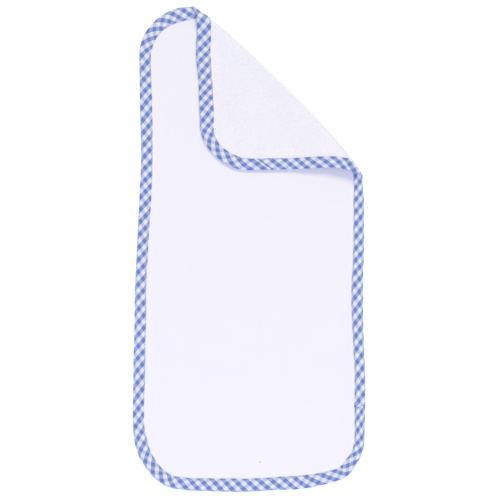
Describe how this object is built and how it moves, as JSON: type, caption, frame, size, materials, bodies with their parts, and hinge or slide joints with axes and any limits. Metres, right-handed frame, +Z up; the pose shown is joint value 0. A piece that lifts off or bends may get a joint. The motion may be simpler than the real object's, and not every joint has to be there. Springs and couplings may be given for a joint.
{
  "type": "burp cloth",
  "caption": "Flat cotton burp cloth with rounded corners and gingham bias binding, its top right corner folded over onto the front.",
  "frame": {"origin": "centre of the laid cloth's bounding box, on the surface it lies on", "axes": "+X to the cloth's right, +Y towards its top, +Z up off the surface"},
  "size_m": [0.244, 0.5112, 0.0112],
  "materials": {
    "white_cotton": "matte cotton, smooth on the front and looped on the reverse",
    "blue_gingham": "matte woven cotton in blue and white checks, cut on the bias"
  },
  "bodies": {
    "root": {"panel": "white_cotton", "binding": "blue_gingham"}
  },
  "joints": []
}
